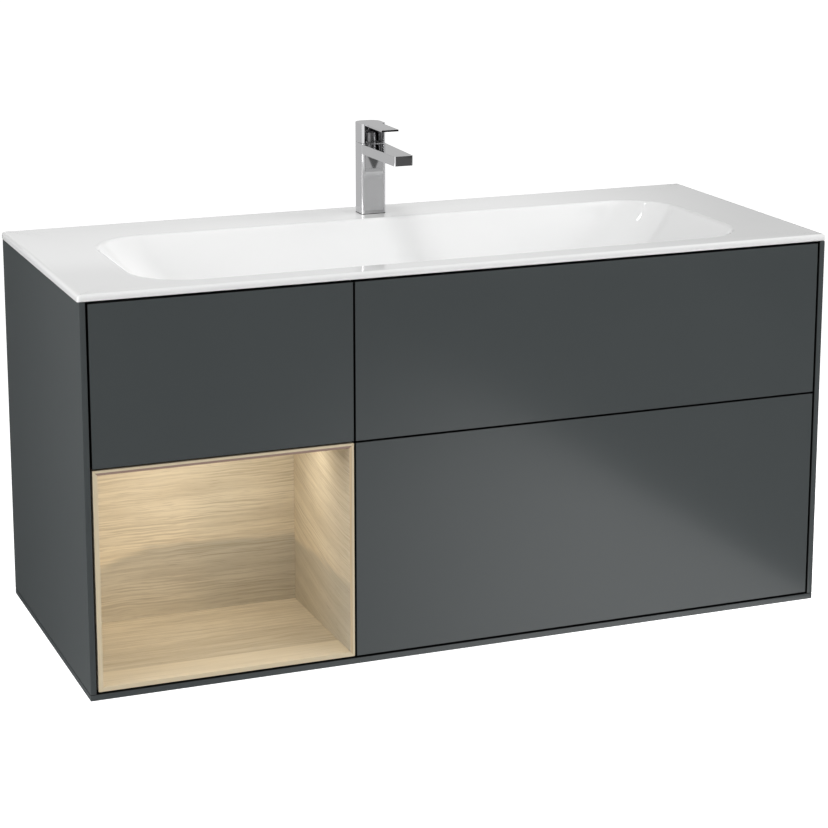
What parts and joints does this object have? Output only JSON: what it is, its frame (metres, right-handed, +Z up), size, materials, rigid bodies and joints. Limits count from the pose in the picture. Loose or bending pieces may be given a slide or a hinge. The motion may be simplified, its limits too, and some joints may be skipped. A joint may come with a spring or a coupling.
{
  "type": "vanity unit",
  "caption": "Wall-hung washstand: slate lacquered cabinet with handleless drawers and a lit oak niche, shallow ceramic basin with wide bowl, chrome single-lever tap.",
  "frame": {"origin": "on the wall plane, on the centre line, at the underside of the base cover", "axes": "+X to the right seen from the front, +Y into the wall, +Z up; the fronts face -Y"},
  "size_m": [1.2, 0.5, 0.751],
  "materials": {
    "slate_lacquer": "satin slate lacquer on board",
    "carcass_board": "dark melamine board",
    "oak_veneer": "matt light oak veneer",
    "glazed_ceramic": "white glaze",
    "chrome": "polished chrome plate",
    "brass": "turned brass",
    "zinc_steel": "zinc-plated steel",
    "aluminium": "anodised aluminium",
    "drawer_metal": "matt anthracite powder coat",
    "drawer_board": "matt anthracite board",
    "grey_plastic": "moulded plastic",
    "white_plastic": "moulded plastic",
    "black_rubber": "soft rubber",
    "light_diffuser": "opal diffuser, lit warm white"
  },
  "bodies": {
    "cabinet": {"aerator": "grey_plastic", "base_cover_panel": "slate_lacquer", "basin": "glazed_ceramic", "basin_waste_body": "chrome", "cartridge": "grey_plastic", "cartridge_nut": "chrome", "centre_partition": "carcass_board", "front_stretcher": "carcass_board", "hanger_brackets": "zinc_steel", "hanger_screws": "zinc_steel", "inner_bottom_board": "carcass_board", "led_channel": "aluminium", "led_diffuser": "light_diffuser", "led_driver": "white_plastic", "left_cover_panel": "slate_lacquer", "left_inner_side": "carcass_board", "niche_back_panel": "oak_veneer", "niche_carrier_board": "carcass_board", "niche_floor_panel": "oak_veneer", "niche_left_panel": "oak_veneer", "niche_right_panel": "oak_veneer", "niche_top_panel": "oak_veneer", "push_latch_housings": "grey_plastic", "rear_lower_rail": "carcass_board", "rear_upper_rail": "carcass_board", "right_cover_panel": "slate_lacquer", "right_inner_side": "carcass_board", "runner_rails": "zinc_steel", "tap_base_seal": "black_rubber", "tap_body": "chrome", "tap_clamp_nut": "brass", "tap_clamp_washer": "zinc_steel", "tap_shank": "brass", "trap_body": "chrome", "trap_outlet_tube": "chrome", "wall_plates": "zinc_steel", "waste_nut": "brass", "waste_seal": "black_rubber"},
    "upper_left_drawer": {"upper_left_drawer_back": "drawer_metal", "upper_left_drawer_bottom": "drawer_board", "upper_left_drawer_front": "slate_lacquer", "upper_left_drawer_sides": "drawer_metal"},
    "upper_left_runner": {"upper_left_runner_middles": "zinc_steel"},
    "upper_left_plunger": {"upper_left_push_plunger": "grey_plastic"},
    "upper_right_drawer": {"upper_right_drawer_back": "drawer_metal", "upper_right_drawer_bottom": "drawer_board", "upper_right_drawer_front": "slate_lacquer", "upper_right_drawer_sides": "drawer_metal"},
    "upper_right_runner": {"upper_right_runner_middles": "zinc_steel"},
    "upper_right_plunger": {"upper_right_push_plunger": "grey_plastic"},
    "lower_right_drawer": {"lower_right_drawer_back": "drawer_metal", "lower_right_drawer_bottom": "drawer_board", "lower_right_drawer_front": "slate_lacquer", "lower_right_drawer_sides": "drawer_metal"},
    "lower_right_runner": {"lower_right_runner_middles": "zinc_steel"},
    "lower_right_plunger": {"lower_right_push_plunger": "grey_plastic"},
    "tap_spindle": {"cartridge_spindle": "chrome"},
    "tap_lever": {"tap_lever": "chrome", "lever_pin": "zinc_steel"},
    "waste_plug": {"waste_plug": "chrome"}
  },
  "joints": [
    {"name": "upper_left_drawer_slide", "type": "slide", "parent": "cabinet", "child": "upper_left_drawer", "axis": [0, -1, 0], "range_m": [-0.003, 0.4]},
    {"name": "upper_left_runner_slide", "type": "slide", "parent": "cabinet", "child": "upper_left_runner", "axis": [0, -1, 0], "range_m": [-0.0015, 0.2]},
    {"name": "upper_left_plunger_press", "type": "slide", "parent": "cabinet", "child": "upper_left_plunger", "axis": [0, 1, 0], "range_m": [0, 0.003], "stiffness_N_per_m": 400},
    {"name": "upper_right_drawer_slide", "type": "slide", "parent": "cabinet", "child": "upper_right_drawer", "axis": [0, -1, 0], "range_m": [-0.003, 0.4]},
    {"name": "upper_right_runner_slide", "type": "slide", "parent": "cabinet", "child": "upper_right_runner", "axis": [0, -1, 0], "range_m": [-0.0015, 0.2]},
    {"name": "upper_right_plunger_press", "type": "slide", "parent": "cabinet", "child": "upper_right_plunger", "axis": [0, 1, 0], "range_m": [0, 0.003], "stiffness_N_per_m": 400},
    {"name": "lower_right_drawer_slide", "type": "slide", "parent": "cabinet", "child": "lower_right_drawer", "axis": [0, -1, 0], "range_m": [-0.003, 0.4]},
    {"name": "lower_right_runner_slide", "type": "slide", "parent": "cabinet", "child": "lower_right_runner", "axis": [0, -1, 0], "range_m": [-0.0015, 0.2]},
    {"name": "lower_right_plunger_press", "type": "slide", "parent": "cabinet", "child": "lower_right_plunger", "axis": [0, 1, 0], "range_m": [0, 0.003], "stiffness_N_per_m": 400},
    {"name": "tap_lever_turn", "type": "hinge", "parent": "cabinet", "child": "tap_spindle", "pos_m": [0, -0.057, 0.719], "axis": [0, 0, 1], "range_deg": [-45, 45]},
    {"name": "tap_lever_lift", "type": "hinge", "parent": "tap_spindle", "child": "tap_lever", "pos_m": [0, -0.046, 0.725], "axis": [-1, 0, 0], "range_deg": [0, 20]},
    {"name": "waste_plug_lift", "type": "slide", "parent": "cabinet", "child": "waste_plug", "axis": [0, 0, 1], "range_m": [0, 0.008]}
  ],
  "couplings": [
    {"joint": "upper_left_runner_slide", "follows": "upper_left_drawer_slide", "ratio": 0.5},
    {"joint": "upper_right_runner_slide", "follows": "upper_right_drawer_slide", "ratio": 0.5},
    {"joint": "lower_right_runner_slide", "follows": "lower_right_drawer_slide", "ratio": 0.5}
  ]
}
